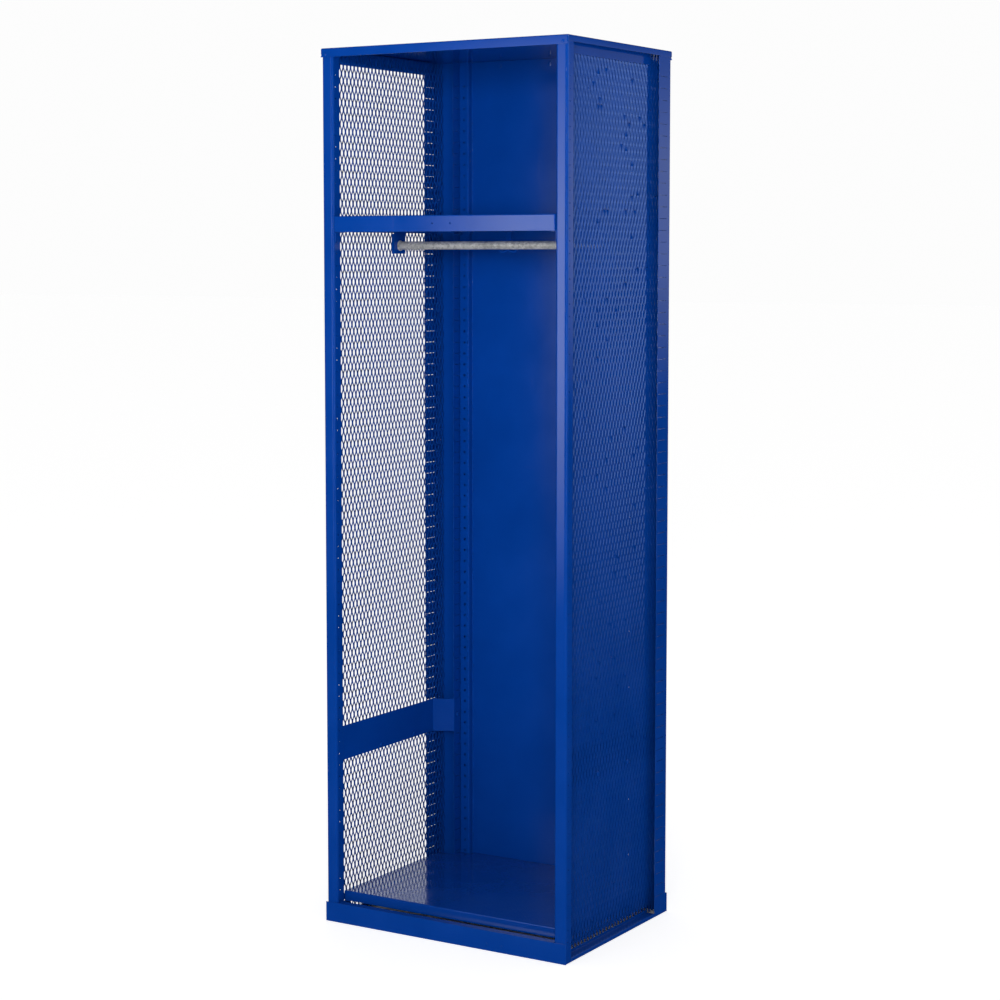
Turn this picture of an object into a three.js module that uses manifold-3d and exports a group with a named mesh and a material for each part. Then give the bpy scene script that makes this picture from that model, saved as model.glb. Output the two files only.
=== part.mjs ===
// Open-front sheet steel gear locker: four rolled posts, pressed pans, expanded-metal sides and a coat rod.
// Millimetres, +Z up, front towards -Y, origin on the floor under the middle of the cabinet.
// Places are given as a distance in from the nearer side (u), back from the front (v) and up from the floor (z).
import * as THREE from "three";
import { mergeVertices } from "three/addons/utils/BufferGeometryUtils.js";
import Module from "manifold-3d";

const wasm = await Module();
wasm.setup();

// Overall
const width = 610;
const depth = 457;
const height = 1905;

// Sheets and clearances
const wall = 1.5;
const backWall = 1.2;
const gap = 0.3;
const headRise = 1.2;
const rim = 60; // how far a cutter runs past what it cuts

// Posts
const frontFace = 28.2;
const frontFlange = 25;
const frontBend = 5;
const rearFace = 70.2;
const rearOuterFlange = 54;
const rearInnerFlange = 41;
const rearBend = 3;

// Pans, plates and rails
const topFlange = 19;
const topSideFlange = 13;
const topRailDrop = 31;
const baseHeight = 43;
const baseLedge = 17;
const floorTop = 65;
const floorLip = floorTop - baseHeight - gap; // stops just above the base ledge
const floorSetback = 2;
const shelfTop = 1548;
const shelfLip = 34;
const borderWidth = 26;
const borderRise = 15;
const bottomLip = 8;
const bottomUpstand = 6;
const sheetFoot = 3; // how far the side and back sheets stand off the floor

// Expanded-metal side panel and its strap
const meshThick = 4;
const meshEnd = 2.5;
const bandBottom = 358;
const bandHeight = 76;
const bandJoggle = 24;
const bandBoltRise = 8;
const bandBoltFront = 147; // behind the front post
const bandBoltRear = 81; // in front of the joggle
const bandEndReach = 15;

// Clips
const clipLeg = 20;
const clipTab = 13;
const clipLength = 18;

// Coat rod
const rodRadius = 9;
const rodWall = 1.25;
const rodDrop = 62;
const rodSetback = 236;
const rodPlay = 0.6;
const rodOverhang = 6;
const collarThick = 2;
const collarRise = 2.5;
const bracketInset = 43;
const bracketWidth = 44;
const bracketTail = 18;
const bracketTab = 18;
const bracketFront = 6;
const bracketRivetShare = 0.6;

// Coat hook
const hookSetback = 271;
const hookStem = 72;
const hookLean = 14;
const hookWidth = 12;
const hookPad = 28;
const hookPadDepth = 16;
const prongRadius = 2.6;
const prongReach = 24;
const prongSag = 9;
const prongLift = 6;
const prongBowShare = 0.8;
const prongSteps = 6;
const prongSides = 4;
const tipRadius = 3.8;
const tipSides = 8;
const tipRows = 6;

// Round pieces
const pinSides = 12;
const tubeSides = 24;

// Fasteners
const crownShare = 0.7; // the flat middle of a head, as a share of its radius
const rimShare = 0.6; // how far down its rise a head is widest
const rivetShank = 2;
const rivetHead = 3.6;
const boltShank = 3;
const boltHead = 5.6;
const boltHeadRise = 3;
const topRivetInset = 12;
const baseRivetPlaces = [112, 150];
const baseRivetHeight = 13;
const backBoltSpacing = 132;
const backBoltDrop = 13;

// Planes that several pieces share
const hookRivetSetback = hookSetback + hookLean + hookPadDepth / 2;
const sideStep = wall + gap;
const frontStep = headRise + wall + gap;
const frontPostInner = sideStep + frontFace;
const frontPostBack = frontStep + frontFlange;
const rearPlane = depth - frontStep;
const rearPostInner = sideStep + rearFace;
const rearOuterFront = rearPlane - rearOuterFlange;
const rearInnerFront = rearPlane - rearInnerFlange;
const meshInner = frontPostInner - wall - 2 * gap - gap;
const meshOuter = meshInner - meshThick;
const borderFront = rearPlane - wall - borderRise;
const borderStart = rearPostInner + gap;
const borderInner = borderStart + borderWidth;
const panelFront = rearPlane - backWall;
const joggleStart = rearInnerFront - bandJoggle;
const bandBoltPlaces = [frontPostBack + bandBoltFront, joggleStart - bandBoltRear];
const underTop = height - wall - gap;
const shelfUnder = shelfTop - wall;
const rodHeight = shelfTop - rodDrop;
const rodInset = bracketInset - rodOverhang;

const blue = { color: 0x0c4fb4, roughness: 0.28, metalness: 0.1 };
const zinc = { color: 0xc9cac6, roughness: 0.42, metalness: 0.85 };
const steel = { color: 0x8d9298, roughness: 0.35, metalness: 0.9 };

const locker = new THREE.Group();
locker.name = "gear_locker";

const sides = [
  ["left", -1],
  ["right", 1],
];

// Frame coordinates of a point given by its insets, on the left (-1) or right (1) side.
const across = (side, u) => side * (width / 2 - u);
const back = (v) => v - depth / 2;

function addPiece(name, geometry, finish) {
  const mesh = new THREE.Mesh(geometry, new THREE.MeshStandardMaterial(finish));
  mesh.name = name;
  locker.add(mesh);
}

// ---- Solids -------------------------------------------------------------------------------------------------

function toSolid(geometry) {
  const plain = geometry.index ? geometry.toNonIndexed() : geometry.clone();
  plain.deleteAttribute("normal");
  plain.deleteAttribute("uv");
  const merged = mergeVertices(plain, 1e-4);
  const mesh = new wasm.Mesh({
    numProp: 3,
    vertProperties: merged.attributes.position.array,
    triVerts: new Uint32Array(merged.index.array),
  });
  return new wasm.Manifold(mesh);
}

function toGeometry(solid) {
  const mesh = solid.getMesh();
  const geometry = new THREE.BufferGeometry();
  geometry.setAttribute("position", new THREE.BufferAttribute(mesh.vertProperties, 3));
  geometry.setIndex(new THREE.BufferAttribute(mesh.triVerts, 1));
  geometry.computeVertexNormals();
  return geometry;
}

function joined(geometries) {
  return geometries.map(toSolid).reduce((whole, next) => whole.add(next));
}

function cutBy(solid, cutters) {
  return cutters.map(toSolid).reduce((left, cutter) => left.subtract(cutter), solid);
}

// A box between two corners given in frame coordinates.
function block(low, high) {
  const size = high.map((end, i) => Math.abs(end - low[i]));
  const middle = high.map((end, i) => (end + low[i]) / 2);
  return new THREE.BoxGeometry(...size).translate(...middle);
}

// A box on one side of the cabinet, given by its insets: [u, v, z] to [u, v, z].
function sideBlock(side, low, high) {
  return block([across(side, low[0]), back(low[1]), low[2]], [across(side, high[0]), back(high[1]), high[2]]);
}

function extrudeUp(points, bottom, top) {
  const shape = new THREE.Shape(points);
  return new THREE.ExtrudeGeometry(shape, { depth: top - bottom, bevelEnabled: false }).translate(0, 0, bottom);
}

// An outline in X and Z, run back from one setback to another.
function extrudeBack(points, from, to) {
  const shape = new THREE.Shape(points);
  const turn = new THREE.Matrix4().makeBasis(
    new THREE.Vector3(1, 0, 0),
    new THREE.Vector3(0, 0, 1),
    new THREE.Vector3(0, -1, 0),
  );
  const run = new THREE.ExtrudeGeometry(shape, { depth: to - from, bevelEnabled: false });
  return run.applyMatrix4(turn).translate(0, back(to), 0);
}

// An outline in Y and Z, run across from one X to another.
function extrudeAcross(points, from, to) {
  const shape = new THREE.Shape(points);
  const turn = new THREE.Matrix4().makeBasis(
    new THREE.Vector3(0, 1, 0),
    new THREE.Vector3(0, 0, 1),
    new THREE.Vector3(1, 0, 0),
  );
  const run = new THREE.ExtrudeGeometry(shape, { depth: to - from, bevelEnabled: false });
  return run.applyMatrix4(turn).translate(from, 0, 0);
}

// The outline of a bent sheet whose mid-line has these sharp corners, each one rounded to the bend radius.
function bentSheet(corners, thickness, bend) {
  const bendSteps = 3;
  const line = [];
  const heading = (from, to) => to.clone().sub(from).normalize();
  const leftOf = (direction) => new THREE.Vector2(-direction.y, direction.x);
  const last = corners.length - 1;
  line.push([corners[0], leftOf(heading(corners[0], corners[1]))]);
  for (let i = 1; i < last; i += 1) {
    const into = heading(corners[i - 1], corners[i]);
    const out = heading(corners[i], corners[i + 1]);
    const turn = Math.atan2(into.cross(out), into.dot(out));
    const hand = Math.sign(turn);
    const start = corners[i].clone().addScaledVector(into, -bend * Math.tan(Math.abs(turn) / 2));
    const centre = start.clone().addScaledVector(leftOf(into), hand * bend);
    for (let step = 0; step <= bendSteps; step += 1) {
      const direction = into.clone().rotateAround(new THREE.Vector2(), (turn * step) / bendSteps);
      line.push([centre.clone().addScaledVector(leftOf(direction), -hand * bend), leftOf(direction)]);
    }
  }
  line.push([corners[last], leftOf(heading(corners[last - 1], corners[last]))]);
  const near = line.map(([point, normal]) => point.clone().addScaledVector(normal, thickness / 2));
  const far = line.map(([point, normal]) => point.clone().addScaledVector(normal, -thickness / 2));
  return [...near, ...far.reverse()];
}

const planPoint = (side, u, v) => new THREE.Vector2(across(side, u), back(v));
const elevationPoint = (side, u, z) => new THREE.Vector2(across(side, u), z);

// A round bar along X, Y or Z. Its start is the end with the lower coordinate.
function roundBar(axis, radius, start, length, sideCount = pinSides) {
  const bar = new THREE.CylinderGeometry(radius, radius, length, sideCount).translate(0, length / 2, 0);
  if (axis === "x") bar.rotateZ(-Math.PI / 2);
  if (axis === "z") bar.rotateX(Math.PI / 2);
  return bar.translate(...start);
}

// A headed pin along +Z from the outside of its first head: two low domed heads and a shank between them.
function headedPin(grip, shank, head, rise) {
  const profile = [
    [0, 0],
    [head * crownShare, 0],
    [head, rise * rimShare],
    [head, rise],
    [shank, rise],
    [shank, rise + grip],
    [head, rise + grip],
    [head, rise * (2 - rimShare) + grip],
    [head * crownShare, rise * 2 + grip],
    [0, rise * 2 + grip],
  ];
  return new THREE.LatheGeometry(profile.map(([r, z]) => new THREE.Vector2(r, z)), pinSides).rotateX(Math.PI / 2);
}

// ---- Posts --------------------------------------------------------------------------------------------------

function frontPost(side) {
  const half = wall / 2;
  const corners = [
    planPoint(side, sideStep + half, frontPostBack),
    planPoint(side, sideStep + half, frontStep + half),
    planPoint(side, frontPostInner - half, frontStep + half),
    planPoint(side, frontPostInner - half, frontPostBack),
  ];
  const post = toSolid(extrudeUp(bentSheet(corners, wall, frontBend), 0, underTop));
  return cutBy(post, [topRivetHole(side, 0)]);
}

function rearPost(side) {
  const half = wall / 2;
  const corners = [
    planPoint(side, sideStep + half, rearOuterFront),
    planPoint(side, sideStep + half, rearPlane - half),
    planPoint(side, rearPostInner - half, rearPlane - half),
    planPoint(side, rearPostInner - half, rearInnerFront),
  ];
  const post = toSolid(extrudeUp(bentSheet(corners, wall, rearBend), 0, underTop));
  return cutBy(post, [topRivetHole(side, depth), bandEndHole(side)]);
}

// ---- Pans and plates ----------------------------------------------------------------------------------------

// A plan outline that is the same on both sides: its left half runs from the front to the back.
function mirroredOutline(leftHalf) {
  const left = leftHalf.map(([u, v]) => planPoint(-1, u, v));
  const right = leftHalf.map(([u, v]) => planPoint(1, u, v)).reverse();
  return [...left, ...right];
}

// The floor and the shelf reach round the rear posts and the raised borders of the back panel.
function deckOutline(sideInset, front, inset) {
  return mirroredOutline([
    [sideInset + inset, front + inset],
    [sideInset + inset, rearInnerFront - gap - inset],
    [rearPostInner + gap + inset, rearInnerFront - gap - inset],
    [rearPostInner + gap + inset, borderFront - gap - inset],
    [borderInner + rearBend + gap + inset, borderFront - gap - inset],
    [borderInner + rearBend + gap + inset, panelFront - gap - inset],
  ]);
}

// A pressed deck: a flat top with a flange hanging down all round.
function deck(sideInset, front, top, lip) {
  const whole = toSolid(extrudeUp(deckOutline(sideInset, front, 0), top - lip, top));
  const hollow = extrudeUp(deckOutline(sideInset, front, wall), top - lip - rim, top - wall);
  return cutBy(whole, [hollow]);
}

function topPan() {
  const front = headRise;
  const rear = depth - headRise;
  const whole = toSolid(block([-width / 2, back(front), height - topFlange], [width / 2, back(rear), height]));
  const inside = block(
    [-width / 2 + wall, back(front + wall), height - topFlange - rim],
    [width / 2 - wall, back(rear - wall), height - wall],
  );
  const shortSides = sides.map(([, side]) =>
    sideBlock(
      side,
      [-rim, front + wall, height - topFlange - rim],
      [wall + rim, rear - wall, height - topSideFlange],
    ),
  );
  const rivetHoles = sides.flatMap(([, side]) => [topRivetHole(side, 0), topRivetHole(side, depth)]);
  return cutBy(whole, [inside, ...shortSides, ...rivetHoles, ...backBoltPlaces.map(backBoltHole)]);
}

function frontBasePlate() {
  const plate = block([-width / 2, back(headRise), 0], [width / 2, back(headRise + wall), baseHeight]);
  const ledgeEnd = across(1, frontPostInner + gap);
  const ledge = block(
    [-ledgeEnd, back(headRise), baseHeight - wall],
    [ledgeEnd, back(headRise + wall + baseLedge), baseHeight],
  );
  const holes = baseRivetPlaces.map((x) =>
    roundBar("y", rivetShank + gap, [x, back(0), baseRivetHeight], headRise + 2 * wall),
  );
  return cutBy(joined([plate, ledge]), holes);
}

function rearBasePlate() {
  return block([-width / 2, back(depth - headRise - wall), 0], [width / 2, back(depth - headRise), baseHeight]);
}

// One sheet across the back with a raised border along each post, closed behind by a return.
function backPanel() {
  const half = backWall / 2;
  const leftHalf = [
    [borderInner - backWall - 2 * gap, rearPlane - half],
    [borderStart + half, rearPlane - half],
    [borderStart + half, borderFront + half],
    [borderInner - half, borderFront + half],
    [borderInner - half, rearPlane - half],
  ];
  const corners = [
    ...leftHalf.map(([u, v]) => planPoint(-1, u, v)),
    ...leftHalf.map(([u, v]) => planPoint(1, u, v)).reverse(),
  ];
  const sheet = toSolid(extrudeUp(bentSheet(corners, backWall, rearBend), sheetFoot, underTop));
  return cutBy(sheet, backBoltPlaces.map(backBoltHole));
}

// ---- Sides --------------------------------------------------------------------------------------------------

function meshPanel(side) {
  const sheet = toSolid(
    sideBlock(
      side,
      [meshOuter, frontStep + wall + meshEnd, sheetFoot],
      [meshInner, rearPlane - wall - meshEnd, underTop - meshEnd],
    ),
  );
  return cutBy(sheet, bandBoltPlaces.map((v) => bandBoltHole(side, v)));
}

function topRail(side) {
  const half = wall / 2;
  const corners = [
    elevationPoint(side, sideStep + wall + gap, underTop - half),
    elevationPoint(side, meshOuter - gap - half, underTop - half),
    elevationPoint(side, meshOuter - gap - half, underTop - topRailDrop),
  ];
  return extrudeBack(bentSheet(corners, wall, rearBend), frontPostBack + gap, rearOuterFront - gap);
}

function bottomRail(side) {
  const half = wall / 2;
  const corners = [
    elevationPoint(side, sideStep + half, 0),
    elevationPoint(side, sideStep + half, bottomLip - half),
    elevationPoint(side, meshOuter - gap - half, bottomLip - half),
    elevationPoint(side, meshOuter - gap - half, bottomLip + bottomUpstand),
  ];
  return extrudeBack(bentSheet(corners, wall, wall), frontPostBack + gap, rearOuterFront - gap);
}

const bandLine = meshInner + gap + wall / 2;
const bandEndLine = rearPostInner + gap + wall / 2;
const bandEndBoltSetback = (rearInnerFront + borderFront) / 2;

function sideBand(side) {
  const corners = [
    planPoint(side, bandLine, frontPostBack + 2 * gap),
    planPoint(side, bandLine, joggleStart),
    planPoint(side, bandEndLine, rearInnerFront - wall),
    planPoint(side, bandEndLine, borderFront - 2 * gap),
  ];
  const strap = toSolid(extrudeUp(bentSheet(corners, wall, rearBend), bandBottom, bandBottom + bandHeight));
  return cutBy(strap, [...bandBoltPlaces.map((v) => bandBoltHole(side, v)), bandEndHole(side)]);
}

// ---- Fasteners and their holes ------------------------------------------------------------------------------

const backBoltPlaces = [-backBoltSpacing, 0, backBoltSpacing];
const topRivetHeight = height - topSideFlange;
const bandBoltHeight = bandBottom + bandBoltRise;
const bandEndBoltHeight = bandBottom + bandHeight / 2;

function topRivetHole(side, plane) {
  const reach = 2 * frontStep;
  const start = plane === 0 ? back(0) : back(depth - reach);
  return roundBar("y", rivetShank + gap, [across(side, topRivetInset), start, topRivetHeight], reach);
}

function backBoltHole(x) {
  const reach = headRise + 3 * wall;
  return roundBar("y", boltShank + gap, [x, back(depth - reach), height - backBoltDrop], reach + wall);
}

function bandBoltHole(side, v) {
  const from = Math.min(across(side, 0), across(side, rearPostInner));
  return roundBar("x", boltShank + gap, [from, back(v), bandBoltHeight], rearPostInner);
}

function bandEndHole(side) {
  const reach = rearPostInner - bandEndReach;
  const from = Math.min(across(side, reach), across(side, reach + rim));
  return roundBar("x", boltShank + gap, [from, back(bandEndBoltSetback), bandEndBoltHeight], rim);
}

// Heads sit a clearance off the sheets that they hold together.
function rivetThrough(front, stack, x, z) {
  const rise = headRise - gap;
  const pin = headedPin(stack + 2 * gap, rivetShank, rivetHead, rise);
  return pin.rotateX(-Math.PI / 2).translate(x, back(front), z);
}

function boltAcross(side, u, stack, v, z) {
  const pin = headedPin(stack + 2 * gap, boltShank, boltHead, boltHeadRise);
  pin.rotateY((side * -Math.PI) / 2);
  return pin.translate(across(side, u - gap - boltHeadRise), back(v), z);
}

function rivetDown(x, v, stack) {
  const rise = headRise - gap;
  const pin = headedPin(stack + 2 * gap, rivetShank, rivetHead, rise);
  return pin.translate(x, back(v), shelfTop - stack - gap - rise);
}

// ---- Shelf fittings -----------------------------------------------------------------------------------------

// A clip hooked into a post face, with a tab that carries the deck above it.
function clip(side, face, from, tabFrom, top) {
  const to = tabFrom + clipLength;
  const leg = sideBlock(side, [face + gap, from, top - clipLeg], [face + gap + wall, to, top]);
  const tab = sideBlock(side, [face + gap, tabFrom, top - wall], [face + gap + clipTab, to, top]);
  return toGeometry(joined([leg, tab]));
}

function rodBracket(side) {
  const bottom = rodHeight - bracketTail;
  const top = shelfUnder - gap;
  const front = rodSetback - bracketWidth / 2;
  const rear = rodSetback + bracketWidth / 2;
  const plate = sideBlock(side, [bracketInset, front, bottom], [bracketInset + wall, rear, top]);
  const tab = sideBlock(side, [bracketInset, front, top - wall], [bracketInset + bracketTab, rear, top]);
  const lip = sideBlock(
    side,
    [bracketInset - bracketFront, front, bottom],
    [bracketInset + wall, front + wall, top - shelfLip],
  );
  const bore = roundBar("x", rodRadius + rodPlay, [-width / 2, back(rodSetback), rodHeight], width, tubeSides);
  const rivetHole = roundBar("z", rivetShank + gap, [bracketRivetX(side), back(rodSetback), bottom], rim + rodDrop);
  return cutBy(joined([plate, tab, lip]), [bore, rivetHole]);
}

const bracketRivetX = (side) => across(side, bracketInset + bracketTab * bracketRivetShare);

function coatRod() {
  const length = width - 2 * rodInset;
  const start = [-length / 2, back(rodSetback), rodHeight];
  const outside = roundBar("x", rodRadius, start, length, tubeSides);
  const inside = roundBar("x", rodRadius - rodWall, [start[0] - rim, start[1], start[2]], length + 2 * rim, tubeSides);
  return cutBy(toSolid(outside), [inside]);
}

function rodCollar(side) {
  const inner = bracketInset + wall + gap;
  const from = Math.min(across(side, inner), across(side, inner + collarThick));
  const place = [from, back(rodSetback), rodHeight];
  const ring = roundBar("x", rodRadius + collarRise, place, collarThick, tubeSides);
  const hole = roundBar("x", rodRadius + gap, [from - rim, place[1], place[2]], collarThick + 2 * rim, tubeSides);
  return cutBy(toSolid(ring), [hole]);
}

// A double-prong ceiling hook: a pad under the shelf, a flat leaning stem and two curved prongs with ball ends.
function coatHook() {
  const top = shelfUnder - gap;
  const stemFoot = top - hookStem;
  const half = hookWidth / 2;
  const padFront = hookSetback + hookLean - wall;
  const pad = block([-hookPad / 2, back(padFront), top - wall], [hookPad / 2, back(padFront + hookPadDepth), top]);
  const lean = (z) => (hookLean * (z - stemFoot)) / hookStem;
  const edge = (z, offset) => new THREE.Vector2(back(hookSetback + lean(z) + offset), z);
  const stemOutline = [edge(stemFoot, -wall), edge(stemFoot, wall), edge(top, wall), edge(top, -wall)];
  const stem = extrudeAcross(stemOutline, -half, half);
  const pieces = [pad, stem];
  for (const [, side] of sides) {
    const start = new THREE.Vector3(0, back(hookSetback), stemFoot + prongRadius);
    const low = new THREE.Vector3(side * prongReach * prongBowShare, back(hookSetback), stemFoot - prongSag);
    const end = new THREE.Vector3(side * prongReach, back(hookSetback), stemFoot + prongLift);
    const curve = new THREE.QuadraticBezierCurve3(start, low, end);
    const section = new THREE.Shape();
    section.absarc(0, 0, prongRadius, 0, 2 * Math.PI);
    pieces.push(new THREE.ExtrudeGeometry(section, { steps: prongSteps, curveSegments: prongSides, extrudePath: curve }));
    pieces.push(new THREE.SphereGeometry(tipRadius, tipSides, tipRows).translate(...end));
  }
  const rivetHole = roundBar("z", rivetShank + gap, [0, back(hookRivetSetback), stemFoot], rim + rodDrop);
  return cutBy(joined(pieces), [rivetHole]);
}

function shelf() {
  const holes = [
    ...sides.map(([, side]) => [bracketRivetX(side), rodSetback]),
    [0, hookRivetSetback],
  ].map(([x, v]) => roundBar("z", rivetShank + gap, [x, back(v), shelfUnder - wall], 3 * wall));
  return cutBy(deck(frontPostInner + gap, frontStep, shelfTop, shelfLip), holes);
}

// ---- Assembly -----------------------------------------------------------------------------------------------

for (const [name, side] of sides) {
  addPiece("front_post_" + name, toGeometry(frontPost(side)), blue);
  addPiece("rear_post_" + name, toGeometry(rearPost(side)), blue);
  addPiece("mesh_panel_" + name, toGeometry(meshPanel(side)), blue);
  addPiece("top_rail_" + name, topRail(side), blue);
  addPiece("bottom_rail_" + name, bottomRail(side), blue);
  addPiece("side_band_" + name, toGeometry(sideBand(side)), blue);

  const strapStack = meshThick + gap + wall;
  bandBoltPlaces.forEach((v, i) => {
    addPiece(`band_bolt_${name}_${i + 1}`, boltAcross(side, meshOuter, strapStack, v, bandBoltHeight), steel);
  });
  const endStack = 2 * wall + gap;
  const endBolt = boltAcross(side, rearPostInner - wall, endStack, bandEndBoltSetback, bandEndBoltHeight);
  addPiece("band_bolt_" + name + "_3", endBolt, steel);

  const floorClipTop = floorTop - floorLip - gap;
  const shelfClipTop = shelfTop - shelfLip - gap;
  const clipFront = frontStep + frontBend;
  const rearClipFrom = rearInnerFront + wall;
  const floorFront = frontPostBack + floorSetback + wall;
  const behindLedge = headRise + wall + baseLedge + gap;
  addPiece("floor_clip_front_" + name, clip(side, frontPostInner, behindLedge, floorFront, floorClipTop), blue);
  addPiece("floor_clip_rear_" + name, clip(side, rearPostInner, rearClipFrom, rearClipFrom, floorClipTop), blue);
  addPiece("shelf_clip_front_" + name, clip(side, frontPostInner, clipFront, clipFront, shelfClipTop), blue);
  addPiece("shelf_clip_rear_" + name, clip(side, rearPostInner, rearClipFrom, rearClipFrom, shelfClipTop), blue);

  addPiece("rod_bracket_" + name, toGeometry(rodBracket(side)), blue);
  addPiece("rod_collar_" + name, toGeometry(rodCollar(side)), zinc);
  addPiece("bracket_rivet_" + name, rivetDown(bracketRivetX(side), rodSetback, 2 * wall + gap), blue);

  const rivetX = across(side, topRivetInset);
  const rivetStack = 2 * wall + gap;
  addPiece("top_rivet_front_" + name, rivetThrough(0, rivetStack, rivetX, topRivetHeight), blue);
  const rearStart = depth - 2 * headRise - rivetStack;
  addPiece("top_rivet_rear_" + name, rivetThrough(rearStart, rivetStack, rivetX, topRivetHeight), blue);
}

addPiece("top_pan", toGeometry(topPan()), blue);
addPiece("shelf", toGeometry(shelf()), blue);
addPiece("floor_pan", toGeometry(deck(meshInner + gap, frontPostBack + floorSetback, floorTop, floorLip)), blue);
addPiece("back_panel", toGeometry(backPanel()), blue);
addPiece("front_base_plate", toGeometry(frontBasePlate()), blue);
addPiece("rear_base_plate", rearBasePlate(), blue);
addPiece("coat_rod", toGeometry(coatRod()), zinc);
addPiece("coat_hook", toGeometry(coatHook()), blue);
addPiece("hook_rivet", rivetDown(0, hookRivetSetback, 2 * wall + gap), blue);

baseRivetPlaces.forEach((x, i) => {
  addPiece("base_rivet_" + (i + 1), rivetThrough(0, wall, x, baseRivetHeight), blue);
});

backBoltPlaces.forEach((x, i) => {
  const bolt = headedPin(backWall + wall + 3 * gap, boltShank, boltHead, headRise - gap);
  bolt.rotateX(-Math.PI / 2);
  const front = depth - headRise - wall - gap - backWall - gap - (headRise - gap);
  addPiece("back_bolt_" + (i + 1), bolt.translate(x, back(front), height - backBoltDrop), steel);
});

export default locker;
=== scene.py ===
import math

import bmesh
import bpy
from mathutils import Matrix, Vector
from mathutils.geometry import tessellate_polygon

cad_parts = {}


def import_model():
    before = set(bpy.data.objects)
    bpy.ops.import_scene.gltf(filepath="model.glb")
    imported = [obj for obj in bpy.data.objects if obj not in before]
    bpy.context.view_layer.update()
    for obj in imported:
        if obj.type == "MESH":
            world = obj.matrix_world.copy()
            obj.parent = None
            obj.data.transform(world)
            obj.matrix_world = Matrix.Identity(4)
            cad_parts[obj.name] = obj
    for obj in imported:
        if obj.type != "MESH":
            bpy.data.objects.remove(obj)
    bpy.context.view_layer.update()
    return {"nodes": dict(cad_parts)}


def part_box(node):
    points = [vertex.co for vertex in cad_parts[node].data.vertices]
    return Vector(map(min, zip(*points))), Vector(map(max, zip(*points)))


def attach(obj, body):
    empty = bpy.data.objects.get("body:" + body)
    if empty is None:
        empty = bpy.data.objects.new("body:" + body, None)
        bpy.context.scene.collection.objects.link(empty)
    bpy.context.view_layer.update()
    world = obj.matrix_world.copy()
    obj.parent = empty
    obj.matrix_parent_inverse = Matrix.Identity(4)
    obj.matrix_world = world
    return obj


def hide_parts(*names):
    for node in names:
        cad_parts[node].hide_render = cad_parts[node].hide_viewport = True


# Sheet steel gear locker in blue enamel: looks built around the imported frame. Metres, front towards -Y.

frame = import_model()

mm = 0.001
smoothAngle = math.radians(38)
sharpTurn = math.radians(50)
cutTurn = math.radians(60)
weldGap = 2e-6
samePlane = 1e-5
samePoint = 1e-7
normalWeight = 90
sides = (("left", -1), ("right", 1))


def rawMesh(bm, name):
    mesh = bpy.data.meshes.new(name)
    bm.to_mesh(mesh)
    bm.free()
    return mesh


def meshFromBmesh(bm, name):
    bmesh.ops.remove_doubles(bm, verts=bm.verts, dist=weldGap)
    bmesh.ops.recalc_face_normals(bm, faces=bm.faces)
    return rawMesh(bm, name)


def tempObject(mesh):
    obj = bpy.data.objects.new(mesh.name, mesh)
    bpy.context.scene.collection.objects.link(obj)
    return obj


def bakedMesh(obj, name):
    # Reads the evaluated shape, then drops the working object with its modifiers.
    bpy.context.view_layer.update()
    depsgraph = bpy.context.evaluated_depsgraph_get()
    mesh = bpy.data.meshes.new_from_object(obj.evaluated_get(depsgraph))
    mesh.name = name
    source = obj.data
    bpy.data.objects.remove(obj)
    if source.users == 0:
        bpy.data.meshes.remove(source)
    return mesh


def smoothed(mesh, angle=smoothAngle):
    mesh.polygons.foreach_set("use_smooth", [True] * len(mesh.polygons))
    mesh.set_sharp_from_angle(angle=angle)
    return mesh


def addWeighted(obj):
    weighted = obj.modifiers.new("weighted", "WEIGHTED_NORMAL")
    weighted.keep_sharp = True
    weighted.weight = normalWeight


def merged(mesh, name):
    bm = bmesh.new()
    bm.from_mesh(mesh)
    return meshFromBmesh(bm, name)


def finished(mesh, name, angle=smoothAngle):
    # Flat faces keep their own normals next to the round bends.
    obj = tempObject(smoothed(merged(mesh, name + "Raw"), angle))
    addWeighted(obj)
    return bakedMesh(obj, name)


def place(name, mesh, slot, body, *nodes):
    mesh.materials.clear()
    mesh.materials.append(finishes[slot])
    obj = bpy.data.objects.new(name, mesh)
    bpy.context.scene.collection.objects.link(obj)
    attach(obj, body)
    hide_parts(*nodes)


def groupTree(name, inputs, outputs):
    tree = bpy.data.node_groups.new(name, "ShaderNodeTree")
    for label, kind, value in inputs:
        socket = tree.interface.new_socket(label, in_out="INPUT", socket_type=kind)
        if value is not None:
            socket.default_value = value
    for label, kind in outputs:
        tree.interface.new_socket(label, in_out="OUTPUT", socket_type=kind)
    source = tree.nodes.new("NodeGroupInput")
    sink = tree.nodes.new("NodeGroupOutput")
    return tree, source, sink


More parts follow.
